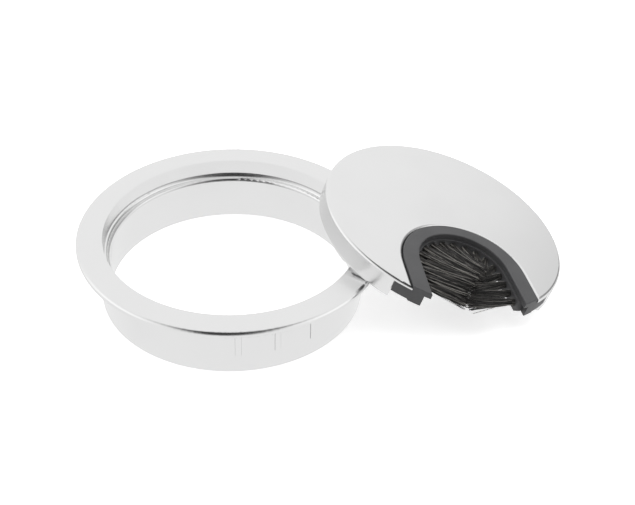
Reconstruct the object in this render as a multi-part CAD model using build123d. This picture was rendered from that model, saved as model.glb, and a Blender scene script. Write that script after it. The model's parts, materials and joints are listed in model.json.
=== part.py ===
from build123d import *
from math import atan2, cos, degrees, hypot, pi, radians, sin, sqrt
import os

# Cable grommet for an 80 mm desk hole: a cast ring, and its lid with a brush mouth, taken off
# and leaning on the ring. Millimetres. The ring's axis is Z and its foot stands on z = 0.

# Ring: collar that goes into the desk and flange that covers the edge of the hole
hole_diameter = 80.0
hole_clearance = 0.25
flange_overhang = 6.8
ring_height = 20.15
flange_edge = 1.8
flange_fall = 0.35
flange_round = 1.1
flange_under_round = 0.4
recess_wall = 1.15
recess_depth = 5.65
recess_draft = 0.3
shoulder = 1.1
ledge_round = 0.75
ledge_wall = 3.35
foot_wall = 2.85
foot_round = 0.4

# Crush ribs on the outside of the collar
rib_groups = 3
ribs_in_group = 3
rib_step = 16.7
rib_first = -67.5
rib_width = 1.7
rib_height = 0.2
rib_length = 12.0
rib_chamfer = 0.05

# Lid: flat plate with a rim that stands in the ring's recess and a skirt that guides it in the bore
lid_clearance = 0.35
lid_plate = 2.0
lid_round = 0.9
rim_depth = 7.4
rim_wall = 1.6
rim_foot_round = 0.9
skirt_clearance = 0.25
skirt_wall = 1.5
skirt_depth = 9.2
skirt_half_angle = 110.5
skirt_lap = 0.5

# Mouth: horseshoe cut in the lid, open at the rim
mouth_radius = 20.1
mouth_set_back = 21.9
mouth_flare = 3.0

# Brush holder: black moulding that lines the mouth
holder_clearance = 0.1
holder_proud = 0.3
holder_band = 5.4
holder_apex_band = 4.0
holder_lip = 1.5
holder_depth = 5.1
holder_round = 0.3
holder_end_gap = 0.3
seat_width = 1.4
seat_height = 1.2
channel_depth = 1.8

# Wings at the ends of the holder's legs, and the notches for them in the rim
wing_angle = 8.5
wing_top = 1.15
wing_bottom = 4.7
wing_wall = 1.6
wing_root_angle = 2.0
wing_clearance = 0.15

# Brush strip: carrier bent into the holder's channel, with a row of drilled holes
strip_clearance = 0.1
strip_wall = 2.3
strip_height = 3.7
strip_left_leg = 8.0
strip_right_leg = 12.0
tuft_count = 17
tuft_pitch = 3.7
tuft_margin = 1.5
tuft_hole_radius = 1.05
tuft_hole_depth = 1.75

# Tufts: a plug of folded filaments in each hole, fanning out to the seam where the tips meet
plug_clearance = 0.05
plug_length = 1.25
plug_proud = 0.15
filament_radius = 0.15
filament_sides = 5
filament_bite = 0.2
filament_rings = [(1, 0.0), (6, 0.36), (9, 0.68)]
tip_spread = 0.95
tip_lift = 1.5
shortest_filament = 0.88
length_step = 0.618
seam_top = (6.6, -18.2)
seam_bottom = (-3.9, -32.6)
seam_width = 2.2
left_tufts = 9
shortest_right = 0.45
left_tip_depth = 3.3
right_tip_depth = 4.3

# Anchors: a flat metal staple at the bottom of each hole
anchor_wall = 0.35
anchor_side = 1.4
anchor_clearance = 0.05

# The lid off the ring: where its middle lies, how far it is turned about its own axis,
# the gap left where it leans on the flange, and the lean from which its rest is worked out
lid_x = 64.6
lid_y = 7.95
mouth_turn = 16.0
lean_gap = 0.05
first_lean = 18.0
settle_rounds = 60

# Worked-out sizes of the ring
collar_radius = hole_diameter / 2 - hole_clearance
flange_radius = collar_radius + flange_overhang
flange_rim_z = ring_height - flange_fall
flange_under_z = flange_rim_z - flange_edge
recess_radius = collar_radius - recess_wall
ledge_z = ring_height - recess_depth
bore_radius = collar_radius - ledge_wall
foot_radius = collar_radius - foot_wall

# Worked-out sizes of the lid and what its mouth holds
lid_radius = recess_radius - lid_clearance
rim_inner_radius = lid_radius - rim_wall
skirt_radius = bore_radius - skirt_clearance
skirt_inner_radius = skirt_radius - skirt_wall
holder_radius = mouth_radius - holder_clearance
band_radius = holder_radius - holder_band
band_set_back = mouth_set_back - (holder_band - holder_apex_band)
channel_radius = band_radius + channel_depth
holder_end_radius = lid_radius - holder_end_gap
seat_top = lid_plate + holder_clearance
strip_top = holder_lip + strip_clearance
strip_back_radius = channel_radius - strip_clearance
strip_face_radius = strip_back_radius - strip_wall
tuft_depth = strip_top + strip_height / 2
plug_radius = tuft_hole_radius - plug_clearance
leg_reach = lid_radius


def sector(inner, outer, start, end):
    """Flat piece of a ring between two angles, in degrees."""
    middle = (start + end) / 2

    def at(radius, angle):
        return (radius * cos(radians(angle)), radius * sin(radians(angle)))

    outer_arc = ThreePointArc(at(outer, start), at(outer, middle), at(outer, end))
    inner_arc = ThreePointArc(at(inner, end), at(inner, middle), at(inner, start))
    sides = [Line(at(outer, end), at(inner, end)), Line(at(inner, start), at(outer, start))]
    return make_face([outer_arc, inner_arc] + sides)


def slab(face, top, bottom):
    """Solid between two depths under the lid's top face."""
    return extrude(Pos(0, 0, -bottom) * face, amount=bottom - top)


def horseshoe_edges(radius, set_back, left_reach=leg_reach, right_reach=leg_reach):
    """Round end towards the middle of the lid and two flared legs, and the points where the legs end."""
    flare = radians(mouth_flare)
    side_x = radius * cos(flare)
    side_y = radius * sin(flare) - set_back
    left = (-side_x, side_y)
    right = (side_x, side_y)
    left_end = (-side_x - left_reach * sin(flare), side_y - left_reach * cos(flare))
    right_end = (side_x + right_reach * sin(flare), side_y - right_reach * cos(flare))
    arc = ThreePointArc(right, (0, radius - set_back), left)
    return [Line(right_end, right), arc, Line(left, left_end)], left_end, right_end


def horseshoe(radius, set_back):
    """Flat horseshoe, closed across the ends of its legs beyond the lid's rim."""
    edges, left_end, right_end = horseshoe_edges(radius, set_back)
    return make_face(edges + [Line(left_end, right_end)])


def band(inner, outer, top, bottom):
    """Horseshoe-shaped wall between two outlines and two depths; each outline is a radius and a set-back."""
    outer_edges, outer_left, outer_right = horseshoe_edges(*outer)
    inner_edges, inner_left, inner_right = horseshoe_edges(*inner)
    ends = [Line(outer_left, inner_left), Line(outer_right, inner_right)]
    return slab(make_face(outer_edges + inner_edges + ends), top, bottom)


def tuft_station(number):
    """Point on the strip's face where a tuft leaves it, and the direction straight out of the strip."""
    flare = radians(mouth_flare)
    half_arc = strip_face_radius * (pi / 2 - flare)
    along = tuft_margin - strip_left_leg - half_arc + number * tuft_pitch
    side = 1 if along > 0 else -1
    straight = max(abs(along) - half_arc, 0.0)
    turn = pi / 2 - min(abs(along), half_arc) / strip_face_radius
    x = side * (strip_face_radius * cos(turn) + straight * sin(flare))
    y = strip_face_radius * sin(turn) - band_set_back - straight * cos(flare)
    return Vector(x, y, -tuft_depth), Vector(-side * cos(turn), -sin(turn), 0)


def tuft_tip(number):
    """Point near the seam that a tuft reaches, on its own side of the seam."""
    top = Vector(*seam_top)
    bottom = Vector(*seam_bottom)
    across = (bottom - top).normalized().rotate(Axis.Z, 90) * seam_width / 2
    right_tufts = tuft_count - left_tufts
    if number < left_tufts:
        share = (number + 0.5) / left_tufts
        return bottom + (top - bottom) * share - across + Vector(0, 0, -left_tip_depth)
    share = (tuft_count - number - 0.5) / right_tufts
    goal = bottom + (top - bottom) * share + across + Vector(0, 0, -right_tip_depth)
    root = tuft_station(number)[0]
    return root + (goal - root) * (1 - (1 - shortest_right) * share)


def flange_top(radius):
    """Height of the flange's upper face at a distance from the ring's axis, with its rounded edge."""
    share = (radius - recess_radius) / (flange_radius - recess_radius)
    height = ring_height - flange_fall * share
    into_round = radius - (flange_radius - flange_round)
    if into_round > 0:
        height -= flange_round - sqrt(max(flange_round**2 - into_round**2, 0.0))
    return height


def lid_frame(height, lean, heading):
    """Plane of the lid's top face: leaning about a level axis, low side towards the heading."""
    tilt = radians(lean)
    way = radians(heading)
    normal = Vector(sin(tilt) * cos(way), sin(tilt) * sin(way), cos(tilt))
    downhill = Vector(cos(tilt) * cos(way), cos(tilt) * sin(way), -sin(tilt))
    return Plane((lid_x, lid_y, height), x_dir=downhill, z_dir=normal)


def support_gaps(height, lean, heading):
    """Smallest gaps from the lid's lower edges to the floor, and to the flange in front and behind."""
    plane = lid_frame(height, lean, heading)
    edges = [(lid_radius, rim_depth - rim_foot_round, 180), (lid_radius - rim_foot_round, rim_depth, 180)]
    edges.append((skirt_radius, skirt_depth, skirt_half_angle))
    edges.append((skirt_inner_radius, skirt_depth, skirt_half_angle))
    floor_gap = front_gap = back_gap = ring_height
    for radius, depth, half_angle in edges:
        for step in range(-180, 180):
            if abs(step) > half_angle:
                continue
            angle = radians(step + 90 + mouth_turn)
            across = plane.x_dir * (radius * cos(angle)) + plane.y_dir * (radius * sin(angle))
            point = plane.origin + across - plane.z_dir * depth
            floor_gap = min(floor_gap, point.Z)
            reach = hypot(point.X, point.Y)
            if recess_radius <= reach <= flange_radius:
                gap = point.Z - flange_top(reach)
                if point.Y < lid_y:
                    front_gap = min(front_gap, gap)
                else:
                    back_gap = min(back_gap, gap)
    return floor_gap, front_gap, back_gap


def settle_lid():
    """Height, lean and heading at which the lid stands on the floor and leans on the flange twice."""
    height, lean, heading = ring_height, first_lean, 0.0
    near_lever = lid_x - flange_radius / 2
    turn_lever = lid_radius * sin(radians(lean))
    for _ in range(settle_rounds):
        floor_gap, front_gap, back_gap = support_gaps(height, lean, heading)
        front_gap -= lean_gap
        back_gap -= lean_gap
        flange_gap = (front_gap + back_gap) / 2
        height -= (floor_gap * near_lever + flange_gap * lid_radius) / (near_lever + lid_radius)
        lean -= degrees((flange_gap - floor_gap) / (near_lever + lid_radius))
        heading += degrees((back_gap - front_gap) / (2 * turn_lever)) / 2
    return height, lean, heading


def circles(solid, radius):
    """Round edges of a solid that have one radius, from the lowest to the highest."""
    round_edges = solid.edges().filter_by(GeomType.CIRCLE)
    return round_edges.filter_by(lambda edge: abs(edge.radius - radius) < 1e-3).sort_by(Axis.Z)


def build_ring():
    """Collar, flange, recess, rounded shoulder and ledge in one casting, with crush ribs on the collar."""
    wall_foot = recess_radius - recess_draft
    outline = [
        Line((foot_radius, 0), (collar_radius, 0)),
        Line((collar_radius, 0), (collar_radius, flange_under_z)),
        Line((collar_radius, flange_under_z), (flange_radius, flange_under_z)),
        Line((flange_radius, flange_under_z), (flange_radius, flange_rim_z)),
        Line((flange_radius, flange_rim_z), (recess_radius, ring_height)),
        Line((recess_radius, ring_height), (wall_foot, ledge_z + shoulder)),
        RadiusArc((wall_foot, ledge_z + shoulder), (wall_foot - shoulder, ledge_z), -shoulder),
        Line((wall_foot - shoulder, ledge_z), (bore_radius + ledge_round, ledge_z)),
        RadiusArc((bore_radius + ledge_round, ledge_z), (bore_radius, ledge_z - ledge_round), ledge_round),
        Line((bore_radius, ledge_z - ledge_round), (foot_radius, 0)),
    ]
    section = Plane.XZ * make_face(outline)
    ring = revolve(section, Axis.Z)
    ring = fillet(circles(ring, flange_radius)[-1], flange_round)
    ring = fillet(circles(ring, flange_radius)[0], flange_under_round)
    ring = fillet(circles(ring, foot_radius)[0], foot_round)
    rib_bottom = flange_under_z - rib_length
    rib = Pos(collar_radius, 0, rib_bottom + rib_length / 2) * Box(2 * rib_height, rib_width, rib_length)
    rib = chamfer(rib.faces().sort_by(Axis.X)[-1].edges(), rib_chamfer)
    for group in range(rib_groups):
        for number in range(ribs_in_group):
            offset = (number - (ribs_in_group - 1) / 2) * rib_step
            ring += Rot(0, 0, rib_first + group * 360 / rib_groups + offset) * rib
    return ring


def leg_angle(radius):
    """Direction, in degrees, in which the outside of the holder's right leg meets a circle."""
    flare = radians(mouth_flare)
    start_x = holder_radius * cos(flare)
    start_y = holder_radius * sin(flare) - mouth_set_back
    along = start_x * sin(flare) - start_y * cos(flare)
    reach = sqrt(along**2 - start_x**2 - start_y**2 + radius**2) - along
    return degrees(atan2(start_y - reach * cos(flare), start_x + reach * sin(flare)))


def both_sides(solid):
    """A solid and its mirror image on the other leg."""
    return solid + mirror(solid, Plane.YZ)


def build_lid():
    """Plate, rim and half-round skirt, cut by the mouth and by the two notches for the holder's wings."""
    lid = slab(Circle(lid_radius), 0, rim_depth)
    foot_edge = lid.edges().sort_by(Axis.Z)[0]
    lid = fillet(foot_edge, rim_foot_round)
    lid -= slab(Circle(rim_inner_radius), lid_plate, rim_depth + 1)
    skirt_ends = (90 - skirt_half_angle, 90 + skirt_half_angle)
    collar = sector(skirt_inner_radius, rim_inner_radius + skirt_lap, *skirt_ends)
    lid += slab(collar, lid_plate, rim_depth - rim_foot_round)
    lid += slab(sector(skirt_inner_radius, skirt_radius, *skirt_ends), lid_plate, skirt_depth)
    lid -= slab(horseshoe(mouth_radius, mouth_set_back), -1, skirt_depth + 1)
    top_edges = lid.edges().filter_by(lambda edge: abs(edge.center().Z) < 1e-3)
    lid = fillet(top_edges, lid_round)
    edge = leg_angle(holder_end_radius)
    slack = degrees(wing_clearance / lid_radius)
    notch_radius = holder_end_radius - wing_wall - wing_clearance
    notch = sector(notch_radius, lid_radius + 1, edge - wing_angle, edge + wing_angle + slack)
    return lid - both_sides(slab(notch, wing_top - wing_clearance, rim_depth + 1))


def build_holder():
    """Horseshoe channel with a flat lip on top, a seat under the lid's plate and a wing at each leg."""
    outside = (holder_radius, mouth_set_back)
    inside = (band_radius, band_set_back)
    back = (channel_radius, band_set_back)
    lip = band(inside, outside, -holder_proud, holder_lip) & slab(Circle(holder_end_radius), -1, holder_lip)
    top_edges = lip.edges().filter_by(lambda edge: abs(edge.center().Z - holder_proud) < 1e-3)
    lip = fillet(top_edges, holder_round)
    web = band(back, outside, holder_lip, holder_depth)
    seat_outline = (holder_radius + seat_width, mouth_set_back)
    seat = band(back, seat_outline, seat_top, seat_top + seat_height)
    seat = seat & slab(Circle(rim_inner_radius - wing_clearance), seat_top, seat_top + seat_height)
    edge = leg_angle(holder_end_radius)
    wing_ends = (edge - wing_root_angle, edge + wing_angle)
    wing_face = sector(holder_end_radius - wing_wall, lid_radius + 1, *wing_ends)
    wing = slab(wing_face, wing_top, wing_bottom)
    wing -= slab(horseshoe(channel_radius, band_set_back), 0, holder_depth)
    body = web + seat + both_sides(wing)
    return lip + (body & slab(Circle(holder_end_radius), wing_top, holder_depth))


def build_strip():
    """Carrier of the brush, a bent bar with a blind hole for each tuft."""
    bottom = strip_top + strip_height
    legs = (band_set_back, strip_left_leg, strip_right_leg)
    strip = band((strip_face_radius, *legs), (strip_back_radius, *legs), strip_top, bottom)
    for number in range(tuft_count):
        place, out = tuft_station(number)
        strip -= Plane(place, z_dir=out) * Cylinder(tuft_hole_radius, 2 * tuft_hole_depth)
    return strip


def build_tuft(number):
    """Plug of folded filaments in its hole, with filaments fanning out to the seam."""
    place, out = tuft_station(number)
    tip = tuft_tip(number)
    face = place + out * plug_proud
    sideways = Vector(0, 0, 1).cross(out)
    run = tip - face
    tip_sideways = Vector(0, 0, 1).cross(run).normalized()
    tuft = Plane(face - out * plug_length, z_dir=out) * Cylinder(
        plug_radius, plug_length, align=(Align.CENTER, Align.CENTER, Align.MIN))
    filaments = []
    count = 0
    for amount, radius in filament_rings:
        for step in range(amount):
            angle = 2 * pi * step / amount + amount
            start = face + sideways * (radius * cos(angle)) + Vector(0, 0, radius * sin(angle))
            spread = tip_sideways * (radius * tip_spread * cos(angle))
            spread += Vector(0, 0, radius * tip_lift * sin(angle))
            share = 1 - (1 - shortest_filament) * ((count * length_step) % 1)
            end = face + run * share + spread
            way = (end - start).normalized()
            foot = start - way * filament_bite
            section = Plane(foot, z_dir=way) * RegularPolygon(filament_radius, filament_sides)
            filaments.append(extrude(section, amount=(end - foot).length, dir=way))
            count += 1
    return tuft + filaments


def build_anchors():
    """Flat staples that hold the folded tufts, one at the bottom of each hole."""
    staples = []
    for number in range(tuft_count):
        place, out = tuft_station(number)
        bottom = place - out * (tuft_hole_depth - anchor_clearance)
        staple = Box(anchor_side, anchor_side, anchor_wall, align=(Align.CENTER, Align.CENTER, Align.MIN))
        staples.append(Plane(bottom, z_dir=out) * staple)
    return Compound(children=staples)


os.makedirs("parts", exist_ok=True)
height, lean, heading = settle_lid()
print("lid height", round(height, 3), "lean", round(lean, 3), "heading", round(heading, 3))
print("gaps", [round(gap, 4) for gap in support_gaps(height, lean, heading)])
lid_place = lid_frame(height, lean, heading) * Rot(0, 0, mouth_turn)

export_step(build_ring(), "parts/ring.step")
export_step(lid_place * build_lid(), "parts/lid.step")
export_step(lid_place * build_holder(), "parts/brush_holder.step")
export_step(lid_place * build_strip(), "parts/brush_strip.step")
export_step(lid_place * build_anchors(), "parts/tuft_anchors.step")
for number in range(tuft_count):
    export_step(lid_place * build_tuft(number), f"parts/tuft_{number + 1:02d}.step")
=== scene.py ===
import json
import math
import random
import bpy
from mathutils import Matrix, Vector


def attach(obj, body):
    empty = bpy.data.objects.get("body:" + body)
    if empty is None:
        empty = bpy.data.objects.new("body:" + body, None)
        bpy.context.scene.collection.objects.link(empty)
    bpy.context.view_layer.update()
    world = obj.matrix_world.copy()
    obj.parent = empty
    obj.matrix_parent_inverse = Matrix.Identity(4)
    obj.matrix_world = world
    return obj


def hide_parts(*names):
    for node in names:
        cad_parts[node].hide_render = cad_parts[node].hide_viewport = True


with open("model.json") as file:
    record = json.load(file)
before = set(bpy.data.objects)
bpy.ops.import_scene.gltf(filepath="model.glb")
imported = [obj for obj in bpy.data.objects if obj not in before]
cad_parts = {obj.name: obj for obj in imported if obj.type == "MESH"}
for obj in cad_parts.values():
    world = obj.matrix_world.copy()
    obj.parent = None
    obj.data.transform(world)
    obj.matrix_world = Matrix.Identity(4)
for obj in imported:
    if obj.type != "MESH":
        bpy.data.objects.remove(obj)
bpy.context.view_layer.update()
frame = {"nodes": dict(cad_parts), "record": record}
nodes = frame["nodes"]
MM = 0.001
UP = Vector((0, 0, 1))

# Camera, solved from the ring's and the lid's circles
CAMERA_DOWN = math.radians(37.38)
CAMERA_ROLL = math.radians(1.285)
CAMERA_PLACE = Vector((25.95, -376.66, 301.18)) * MM
FOCAL_PX = 1565.6
FRAME_WIDTH_PX = 635.0
SENSOR_MM = 36.0
CLIP_NEAR = 0.01
CLIP_FAR = 50.0

# Floor: half its width, the white added for the camera, and its level in what mirrors it
FLOOR_HALF = 6.0
FLOOR_WHITE = 0.66
FLOOR_MIRRORED = 0.98

# Lamp overhead, in metres and watts
LAMP_PLACE = Vector((0.0, 0.1, 1.6))
LAMP_AIM = Vector((0.04, 0, 0))
LAMP_SIZE = 1.8
LAMP_WATTS = 20.0

# Zones of the studio: which way each lies, how it fades, and how much it adds or takes
STRIP_AIM = (0.0, -0.47, 0.88)
STRIP_STOPS = [(0.70, 0.0), (0.87, 1.0)]
LOW_AIM = (0.0, -0.80, 0.60)
LOW_STOPS = [(0.72, 0.0), (0.95, 0.85)]
STRIP_ACROSS = [(0.26, 1.0), (0.56, 0.0)]
STRIP_DEPTH = 0.985
PANEL_AIM = (0.92, -0.05, 0.25)
PANEL_STOPS = [(0.80, 0.0), (0.95, 1.0)]
PANEL_GAIN = 0.22
CORNER_AIM = (0.80, 0.52, 0.18)
CORNER_STOPS = [(0.86, 0.0), (0.95, 1.0)]
CORNER_DEPTH = 0.7

# Metal: how far from an inner corner the painted shade reaches, and its tone there and in the
# open
PAINTED_SHADE_REACH = 0.45 * MM
PAINTED_SHADE_SAMPLES = 12
PAINTED_SHADE_TONES = [(0.35, 0.30), (0.85, 0.80)]

# The lid's pose and the brush's sizes in millimetres, as in the part's source
LID_PLACE = Vector((64.6, 7.95, 19.931))
LID_LEAN = math.radians(18.019)
LID_HEADING = math.radians(-1.036)
MOUTH_TURN = math.radians(16.0)
FLARE = math.radians(3.0)
STRIP_FACE = 14.0
STRIP_SET_BACK = 20.5
LEFT_LEG = 8.0
TUFT_MARGIN = 1.5
TUFT_PITCH = 3.7
TUFT_COUNT = 17
LEFT_TUFTS = 9
TUFT_DEPTH = 3.45
PLUG_RADIUS = 0.98

# Where the tips lie, from the mouth's opening inwards, in the lid's millimetres
LEFT_SEAM = [(-1.9, -31.4, -4.3), (2.0, -25.2, -4.0), (5.6, -21.3, -3.5), (7.5, -20.3, -3.0),
             (8.4, -18.8, -2.8)]
RIGHT_SEAM = [(-1.4, -31.7, -3.7), (0.9, -25.5, -3.5), (5.9, -21.5, -3.3), (8.6, -17.5, -3.3)]
SHORTEST_RIGHT = 0.45
STRAYS = 9
STRAY_TIPS = Vector((-0.4, -33.6, -4.8))
STRAY_SCATTER = (0.5, 0.6, 0.15)

# Filaments of a tuft, in millimetres: each starts inside its hole and first runs straight
FILAMENTS = 150
FILAMENT_RADIUS = 0.10
FILAMENT_SIDES = 3
FILAMENT_STEPS = 6
FILAMENT_START = 0.9
FILAMENT_STRAIGHT = 1.2
GOLDEN_ANGLE = 2.39996
FIRST_SEED = 1000

# Shape of a tuft, in shares of its length, and how much its tips open against the hole
SHORTEST, LONGEST, USUAL = 0.86, 1.07, 1.0
SPREAD = 0.055
LIFT = 0.03
BOW = 0.06
BELLY_AT = 0.45
BELLY_OUT = 0.07
TIP_WIDER = 1.3
TIP_TALLER = 1.1


# Node helpers

def new_material(name):
    """An empty node material, its tree and its output node."""
    material = bpy.data.materials.new(name)
    material.use_nodes = True
    tree = material.node_tree
    tree.nodes.clear()
    return material, tree, tree.nodes.new("ShaderNodeOutputMaterial")


def add(tree, kind, **values):
    """A node with its properties and input values set by name."""
    node = tree.nodes.new(kind)
    for key, value in values.items():
        if hasattr(node, key):
            setattr(node, key, value)
        else:
            node.inputs[key.replace("_", " ")].default_value = value
    return node


def join(tree, source, node, socket):
    """Joins an output socket to a node's input."""
    tree.links.new(source, node.inputs[socket])


def graded(tree, level, stops):
    """A level put through a colour ramp of (position, value) or (position, (r, g, b))."""
    node = tree.nodes.new("ShaderNodeValToRGB")
    elements = node.color_ramp.elements
    while len(elements) > 1:
        elements.remove(elements[-1])
    for index, (position, value) in enumerate(stops):
        element = elements[0] if index == 0 else elements.new(position)
        element.position = position
        colour = (value, value, value) if isinstance(value, (int, float)) else value
        element.color = (*colour, 1.0)
    join(tree, level, node, "Fac")
    return node.outputs["Color"]


def combine(tree, operation, *values):
    """A math node; each input is an output socket or a plain number."""
    node = add(tree, "ShaderNodeMath", operation=operation)
    for socket, value in zip(node.inputs, values):
        if isinstance(value, (int, float)):
            socket.default_value = value
        else:
            tree.links.new(value, socket)
    return node.outputs[0]


def noise(tree, scale, detail, roughness=0.5):
    """Level of a noise over the object's own coordinates."""
    place = add(tree, "ShaderNodeTexCoord")
    node = add(tree, "ShaderNodeTexNoise", Scale=scale, Detail=detail, Roughness=roughness)
    join(tree, place.outputs["Object"], node, "Vector")
    return node.outputs["Fac"]


def emboss(tree, shader, level, strength, distance):
    """Gives a shader a bump from a level."""
    bump = add(tree, "ShaderNodeBump", Strength=strength, Distance=distance)
    join(tree, level, bump, "Height")
    join(tree, bump.outputs["Normal"], shader, "Normal")


def choose(tree, share, first, second, output):
    """Shows the first shader, or by the share the second, at an output node."""
    choice = add(tree, "ShaderNodeMixShader")
    join(tree, share, choice, 0)
    join(tree, first, choice, 1)
    join(tree, second, choice, 2)
    join(tree, choice.outputs[0], output, "Surface")


# Materials

def satin_chrome():
    """Satin plating on a zinc casting: fine grain, an uneven polish, and painted shade darkening
    its inner corners.
    """
    material, tree, output = new_material("satin_chrome")
    shader = add(tree, "ShaderNodeBsdfPrincipled", Metallic=1.0)
    # Painted shade: ambient occlusion darkens the base colour near inner corners and creases
    painted_shade = add(tree, "ShaderNodeAmbientOcclusion", samples=PAINTED_SHADE_SAMPLES, only_local=True,
                 Distance=PAINTED_SHADE_REACH)
    join(tree, graded(tree, painted_shade.outputs["AO"], PAINTED_SHADE_TONES), shader, "Base Color")
    cloud = noise(tree, scale=55.0, detail=3.0, roughness=0.55)
    join(tree, graded(tree, cloud, [(0.35, 0.20), (0.65, 0.27)]), shader, "Roughness")
    emboss(tree, shader, noise(tree, scale=5200.0, detail=2.0), strength=0.05, distance=0.02 * MM)
    join(tree, shader.outputs["BSDF"], output, "Surface")
    return material


def black_plastic():
    """Matt black moulding with a fine eroded surface."""
    material, tree, output = new_material("black_plastic")
    shader = add(tree, "ShaderNodeBsdfPrincipled")
    cloud = noise(tree, scale=90.0, detail=3.0)
    tones = [(0.3, (0.052, 0.052, 0.054)), (0.7, (0.068, 0.068, 0.070))]
    join(tree, graded(tree, cloud, tones), shader, "Base Color")
    grain = noise(tree, scale=2600.0, detail=4.0, roughness=0.6)
    join(tree, graded(tree, grain, [(0.3, 0.42), (0.7, 0.52)]), shader, "Roughness")
    emboss(tree, shader, grain, strength=0.12, distance=0.04 * MM)
    join(tree, shader.outputs["BSDF"], output, "Surface")
    return material


def bristle_nylon():
    """Drawn nylon filaments, each of its own tone, with a gloss that changes along its length."""
    material, tree, output = new_material("bristle_nylon")
    shader = add(tree, "ShaderNodeBsdfPrincipled")
    strand = add(tree, "ShaderNodeNewGeometry").outputs["Random Per Island"]
    tones = [(0.0, (0.007, 0.007, 0.007)), (0.55, (0.022, 0.021, 0.020)),
             (0.8, (0.090, 0.086, 0.080)), (1.0, (0.270, 0.260, 0.240))]
    join(tree, graded(tree, strand, tones), shader, "Base Color")
    cloud = noise(tree, scale=700.0, detail=2.0)
    join(tree, graded(tree, cloud, [(0.3, 0.28), (0.7, 0.42)]), shader, "Roughness")
    join(tree, shader.outputs["BSDF"], output, "Surface")
    return material


def anchor_wire():
    """Plain flat steel wire with fine drawing marks."""
    material, tree, output = new_material("anchor_wire")
    shader = add(tree, "ShaderNodeBsdfPrincipled", Metallic=1.0)
    shader.inputs["Base Color"].default_value = (0.55, 0.55, 0.56, 1.0)
    marks = noise(tree, scale=3000.0, detail=2.0)
    join(tree, graded(tree, marks, [(0.3, 0.3), (0.7, 0.45)]), shader, "Roughness")
    emboss(tree, shader, marks, strength=0.1, distance=0.03 * MM)
    join(tree, shader.outputs["BSDF"], output, "Surface")
    return material


def floor_paper():
    """White table: diffuse, with white added for the camera, and one even level in the metal."""
    material, tree, output = new_material("floor_paper")
    paper = add(tree, "ShaderNodeBsdfDiffuse")
    grain = noise(tree, scale=900.0, detail=3.0)
    join(tree, graded(tree, grain, [(0.3, 0.79), (0.7, 0.81)]), paper, "Color")
    seen = add(tree, "ShaderNodeLightPath").outputs
    straight = combine(tree, "MAXIMUM", seen["Is Camera Ray"], seen["Is Transmission Ray"])
    white = add(tree, "ShaderNodeEmission")
    join(tree, combine(tree, "MULTIPLY", straight, FLOOR_WHITE), white, "Strength")
    both = add(tree, "ShaderNodeAddShader")
    join(tree, paper.outputs[0], both, 0)
    join(tree, white.outputs[0], both, 1)
    mirrored = add(tree, "ShaderNodeEmission", Strength=FLOOR_MIRRORED)
    choose(tree, seen["Is Glossy Ray"], both.outputs[0], mirrored.outputs[0], output)
    return material


materials = {
    "satin_chrome": satin_chrome(),
    "black_plastic": black_plastic(),
    "bristle_nylon": bristle_nylon(),
    "anchor_wire": anchor_wire(),
}
slots = {part["node"]: part["material_slot"] for part in frame["record"]["subparts"]}
for name, piece in nodes.items():
    if name.startswith("tuft_") and name != "tuft_anchors":
        continue
    piece.data.materials.clear()
    piece.data.materials.append(materials[slots[name]])
    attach(piece, "root")


# Brush: fine filaments in place of the solid fans, from the holes in the strip to the seam

def lid_matrix():
    """From the lid's own millimetres, mouth towards -Y and top face at 0, to the row's metres."""
    lean_sin, lean_cos = math.sin(LID_LEAN), math.cos(LID_LEAN)
    heading_sin, heading_cos = math.sin(LID_HEADING), math.cos(LID_HEADING)
    normal = Vector((lean_sin * heading_cos, lean_sin * heading_sin, lean_cos))
    downhill = Vector((lean_cos * heading_cos, lean_cos * heading_sin, -lean_sin))
    across = normal.cross(downhill)
    along_x = downhill * math.cos(MOUTH_TURN) + across * math.sin(MOUTH_TURN)
    along_y = across * math.cos(MOUTH_TURN) - downhill * math.sin(MOUTH_TURN)
    turn = Matrix((along_x, along_y, normal)).transposed().to_4x4()
    return Matrix.Scale(MM, 4) @ Matrix.Translation(LID_PLACE) @ turn


def tuft_root(number):
    """Middle of a tuft's hole in the strip's face, in the lid's millimetres, and the way out."""
    half_arc = STRIP_FACE * (math.pi / 2 - FLARE)
    along = TUFT_MARGIN - LEFT_LEG - half_arc + number * TUFT_PITCH
    side = 1 if along > 0 else -1
    straight = max(abs(along) - half_arc, 0.0)
    turn = math.pi / 2 - min(abs(along), half_arc) / STRIP_FACE
    x = side * (STRIP_FACE * math.cos(turn) + straight * math.sin(FLARE))
    y = STRIP_FACE * math.sin(turn) - STRIP_SET_BACK - straight * math.cos(FLARE)
    return Vector((x, y, -TUFT_DEPTH)), Vector((-side * math.cos(turn), -math.sin(turn), 0))


def along_seam(seam, share):
    """Point at a share of the way along a seam's points, evenly spaced in number."""
    place = share * (len(seam) - 1)
    index = min(int(place), len(seam) - 2)
    return Vector(seam[index]).lerp(Vector(seam[index + 1]), place - index)


def tuft_goal(number):
    """Tip of a tuft's middle filament; towards the apex the right-hand ones stop short."""
    if number < LEFT_TUFTS:
        return along_seam(LEFT_SEAM, number / (LEFT_TUFTS - 1))
    share = (TUFT_COUNT - 1 - number) / (TUFT_COUNT - 1 - LEFT_TUFTS)
    goal = along_seam(RIGHT_SEAM, share)
    return tuft_root(number)[0].lerp(goal, 1 - (1 - SHORTEST_RIGHT) * share)


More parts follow.
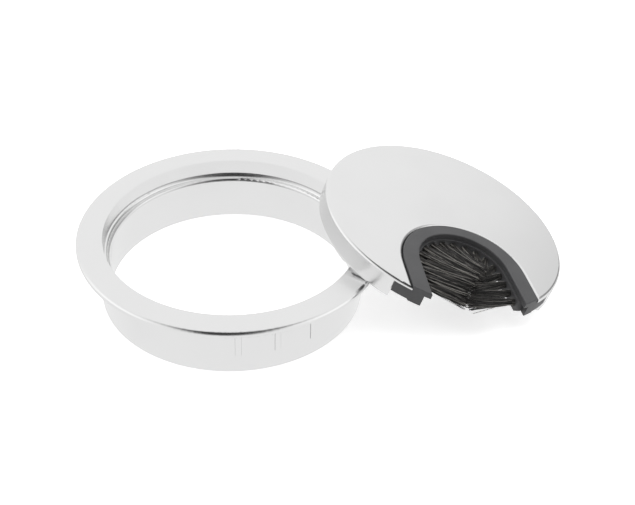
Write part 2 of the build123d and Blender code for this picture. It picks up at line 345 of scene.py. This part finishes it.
def add_filament(points, vertices, faces):
    """Three-sided tube along a line of points, with closed ends."""
    first = len(vertices)
    for index, point in enumerate(points):
        before = points[max(index - 1, 0)]
        after = points[min(index + 1, len(points) - 1)]
        way = (after - before).normalized()
        flat = way.cross(UP).normalized()
        tall = flat.cross(way)
        for corner in range(FILAMENT_SIDES):
            angle = 2 * math.pi * corner / FILAMENT_SIDES
            away = flat * math.cos(angle) + tall * math.sin(angle)
            vertices.append(point + away * FILAMENT_RADIUS)
    for index in range(len(points) - 1):
        low = first + index * FILAMENT_SIDES
        high = low + FILAMENT_SIDES
        for corner in range(FILAMENT_SIDES):
            after = (corner + 1) % FILAMENT_SIDES
            faces.append((low + corner, low + after, high + after, high + corner))
    last = first + (len(points) - 1) * FILAMENT_SIDES
    faces.append((first, first + 2, first + 1))
    faces.append((last, last + 1, last + 2))


def build_tuft(number, place):
    """One tuft of loose filaments, straight out of the hole and then combed to the seam."""
    dice = random.Random(FIRST_SEED + number)
    root, out = tuft_root(number)
    sideways = UP.cross(out)
    run = tuft_goal(number) - root
    tip_sideways = UP.cross(run).normalized()
    length = run.length
    vertices, faces = [], []
    for index in range(FILAMENTS):
        radius = PLUG_RADIUS * math.sqrt((index + 0.5) / FILAMENTS)
        u = radius * math.cos(index * GOLDEN_ANGLE)
        v = radius * math.sin(index * GOLDEN_ANGLE)
        start = root + sideways * u + UP * v - out * FILAMENT_START
        mouth = start + out * FILAMENT_STRAIGHT
        share = dice.triangular(SHORTEST, LONGEST, USUAL)
        spread = dice.gauss(0, SPREAD * length)
        lift = dice.gauss(0, LIFT * length)
        aside = tip_sideways * (TIP_WIDER * u + spread)
        end = root + run * share + aside + UP * (TIP_TALLER * v + lift)
        if number == TUFT_COUNT - 1 and index < STRAYS:
            end = STRAY_TIPS + Vector([dice.gauss(0, scatter) for scatter in STRAY_SCATTER])
        bow = dice.gauss(0, BOW * length)
        belly = mouth.lerp(end, BELLY_AT) + out * (BELLY_OUT * length) + tip_sideways * bow
        points = [start]
        for step in range(FILAMENT_STEPS):
            t = step / (FILAMENT_STEPS - 1)
            points.append(mouth * (1 - t) ** 2 + belly * (2 * t * (1 - t)) + end * t ** 2)
        add_filament(points, vertices, faces)
    mesh = bpy.data.meshes.new(f"bristles_{number + 1:02d}")
    mesh.from_pydata([place @ vertex for vertex in vertices], [], faces)
    mesh.polygons.foreach_set("use_smooth", [True] * len(mesh.polygons))
    mesh.materials.append(materials["bristle_nylon"])
    piece = bpy.data.objects.new(f"bristles_{number + 1:02d}", mesh)
    bpy.context.collection.objects.link(piece)
    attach(piece, "root")
    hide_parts(f"tuft_{number + 1:02d}")


lid_place = lid_matrix()
for number in range(TUFT_COUNT):
    build_tuft(number, lid_place)


# Floor, studio and camera

def build_floor():
    """Square sheet under the part."""
    half = FLOOR_HALF
    corners = [(-half, -half, 0), (half, -half, 0), (half, half, 0), (-half, half, 0)]
    mesh = bpy.data.meshes.new("floor")
    mesh.from_pydata(corners, [], [(0, 1, 2, 3)])
    mesh.materials.append(floor_paper())
    floor = bpy.data.objects.new("floor", mesh)
    bpy.context.collection.objects.link(floor)


def zone(tree, direction, aim, stops):
    """How far a direction lies in a soft round zone about the aim, from 0 to 1."""
    dot = add(tree, "ShaderNodeVectorMath", operation="DOT_PRODUCT")
    join(tree, direction, dot, 0)
    dot.inputs[1].default_value = Vector(aim).normalized()
    return graded(tree, dot.outputs["Value"], stops)


def build_world():
    """White studio: a dark strip on the viewer's side, brighter panels left and right of it,
    and a dim corner behind on the right."""
    world = bpy.data.worlds.new("studio")
    bpy.context.scene.world = world
    world.use_nodes = True
    tree = world.node_tree
    tree.nodes.clear()
    output = tree.nodes.new("ShaderNodeOutputWorld")
    way = add(tree, "ShaderNodeTexCoord").outputs["Generated"]
    split = add(tree, "ShaderNodeSeparateXYZ")
    join(tree, way, split, 0)
    beside = combine(tree, "ABSOLUTE", split.outputs["X"])
    mirrored = add(tree, "ShaderNodeCombineXYZ")
    join(tree, beside, mirrored, "X")
    join(tree, split.outputs["Y"], mirrored, "Y")
    join(tree, split.outputs["Z"], mirrored, "Z")
    high = zone(tree, way, STRIP_AIM, STRIP_STOPS)
    low = zone(tree, way, LOW_AIM, LOW_STOPS)
    tall = combine(tree, "MAXIMUM", high, low)
    strip = combine(tree, "MULTIPLY", tall, graded(tree, beside, STRIP_ACROSS))
    panels = zone(tree, mirrored.outputs[0], PANEL_AIM, PANEL_STOPS)
    corner = zone(tree, way, CORNER_AIM, CORNER_STOPS)
    level = combine(tree, "MULTIPLY_ADD", strip, -STRIP_DEPTH, 1.0)
    level = combine(tree, "MULTIPLY_ADD", panels, PANEL_GAIN, level)
    level = combine(tree, "MULTIPLY_ADD", corner, -CORNER_DEPTH, level)
    studio = add(tree, "ShaderNodeBackground", Color=(1, 1, 1, 1))
    join(tree, level, studio, "Strength")
    white = add(tree, "ShaderNodeBackground", Color=(1, 1, 1, 1), Strength=1.0)
    seen = add(tree, "ShaderNodeLightPath").outputs["Is Camera Ray"]
    choose(tree, seen, studio.outputs[0], white.outputs[0], output)


def build_lamp():
    """Soft overhead lamp that the polished metal doesn't mirror."""
    data = bpy.data.lights.new("lamp_top", "AREA")
    data.shape = "DISK"
    data.size = LAMP_SIZE
    data.energy = LAMP_WATTS
    lamp = bpy.data.objects.new("lamp_top", data)
    lamp.location = LAMP_PLACE
    lamp.rotation_euler = (LAMP_AIM - LAMP_PLACE).to_track_quat("-Z", "Y").to_euler()
    lamp.visible_glossy = False
    bpy.context.collection.objects.link(lamp)


def build_camera():
    """The photo's camera: looks along +Y and down, with a slight roll."""
    down, roll = CAMERA_DOWN, CAMERA_ROLL
    forward = Vector((0, math.cos(down), -math.sin(down)))
    up = Vector((0, math.sin(down), math.cos(down)))
    right = Vector((1, 0, 0))
    side = right * math.cos(roll) + up * math.sin(roll)
    top = up * math.cos(roll) - right * math.sin(roll)
    turn = Matrix((side, top, -forward)).transposed()
    data = bpy.data.cameras.new("camera")
    data.sensor_width = SENSOR_MM
    data.lens = SENSOR_MM * FOCAL_PX / FRAME_WIDTH_PX
    data.clip_start = CLIP_NEAR
    data.clip_end = CLIP_FAR
    camera = bpy.data.objects.new("camera", data)
    camera.matrix_world = Matrix.Translation(CAMERA_PLACE) @ turn.to_4x4()
    bpy.context.collection.objects.link(camera)
    bpy.context.scene.camera = camera


build_floor()
build_world()
build_lamp()
build_camera()
bpy.context.scene.view_settings.view_transform = "Standard"
